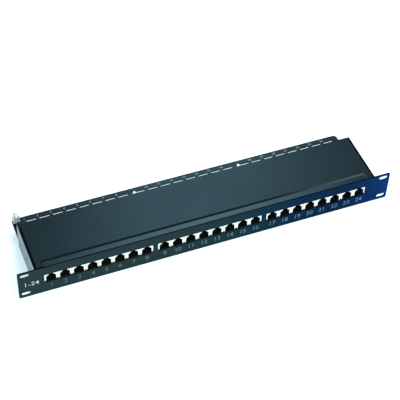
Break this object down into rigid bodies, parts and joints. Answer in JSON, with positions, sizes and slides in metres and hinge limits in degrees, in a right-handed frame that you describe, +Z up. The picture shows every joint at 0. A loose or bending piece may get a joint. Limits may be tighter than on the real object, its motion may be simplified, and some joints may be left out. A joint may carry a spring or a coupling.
{
  "type": "rack-mount shielded patch panel",
  "caption": "One-unit rack-mount shielded modular patch panel with a painted front, lift-off cover, zinc tray, wire blocks and slotted rear cable shelf.",
  "frame": {"origin": "centre of the footprint's bounding box, on the underside of the tray and ears", "axes": "+X to the right along the panel seen from the front, -Y out of the front panel's face, +Z up"},
  "size_m": [0.4826, 0.11, 0.044],
  "materials": {
    "panel_paint": "fine semi-matt powder paint, dark slate blue",
    "cover_paint": "fine semi-matt powder paint, dark slate",
    "shelf_paint": "fine matt powder paint, near black",
    "zinc_sheet": "bright zinc-plated sheet",
    "board_laminate": "green solder-masked laminate",
    "tinned_shield": "tinned spring brass, bright satin",
    "gold_contacts": "gold-plated springs",
    "wire_block_plastic": "moulded off-white plastic",
    "tinned_forks": "tinned spring bronze",
    "jack_plastic": "moulded black plastic",
    "brass_standoffs": "turned brass",
    "zinc_fasteners": "bright zinc plate",
    "rivet_steel": "drawn steel",
    "earth_zinc": "bright zinc-plated steel"
  },
  "bodies": {
    "chassis": {"front_panel": "panel_paint", "base_tray": "zinc_sheet", "rear_shelf": "shelf_paint", "circuit_board_left": "board_laminate", "jack_shields_left": "tinned_shield", "jack_contacts_left": "gold_contacts", "wire_blocks_left": "wire_block_plastic", "wire_forks_left": "tinned_forks", "circuit_board_centre": "board_laminate", "jack_shields_centre": "tinned_shield", "jack_contacts_centre": "gold_contacts", "wire_blocks_centre": "wire_block_plastic", "wire_forks_centre": "tinned_forks", "circuit_board_right": "board_laminate", "jack_shields_right": "tinned_shield", "jack_contacts_right": "gold_contacts", "wire_blocks_right": "wire_block_plastic", "wire_forks_right": "tinned_forks", "jack_housing_01": "jack_plastic", "jack_housing_02": "jack_plastic", "jack_housing_03": "jack_plastic", "jack_housing_04": "jack_plastic", "jack_housing_05": "jack_plastic", "jack_housing_06": "jack_plastic", "jack_housing_07": "jack_plastic", "jack_housing_08": "jack_plastic", "jack_housing_09": "jack_plastic", "jack_housing_10": "jack_plastic", "jack_housing_11": "jack_plastic", "jack_housing_12": "jack_plastic", "jack_housing_13": "jack_plastic", "jack_housing_14": "jack_plastic", "jack_housing_15": "jack_plastic", "jack_housing_16": "jack_plastic", "jack_housing_17": "jack_plastic", "jack_housing_18": "jack_plastic", "jack_housing_19": "jack_plastic", "jack_housing_20": "jack_plastic", "jack_housing_21": "jack_plastic", "jack_housing_22": "jack_plastic", "jack_housing_23": "jack_plastic", "jack_housing_24": "jack_plastic", "board_standoffs": "brass_standoffs", "board_screws": "zinc_fasteners", "panel_rivets": "rivet_steel", "shelf_rivets": "rivet_steel", "earth_bracket": "earth_zinc", "earth_screw": "zinc_fasteners", "earth_washer": "zinc_fasteners", "earth_nut": "zinc_fasteners"},
    "cover": {"top_cover": "cover_paint"}
  },
  "joints": [
    {"name": "cover_lift", "type": "slide", "parent": "chassis", "child": "cover", "axis": [0, 0, 1], "range_m": [0, 0.06]}
  ]
}
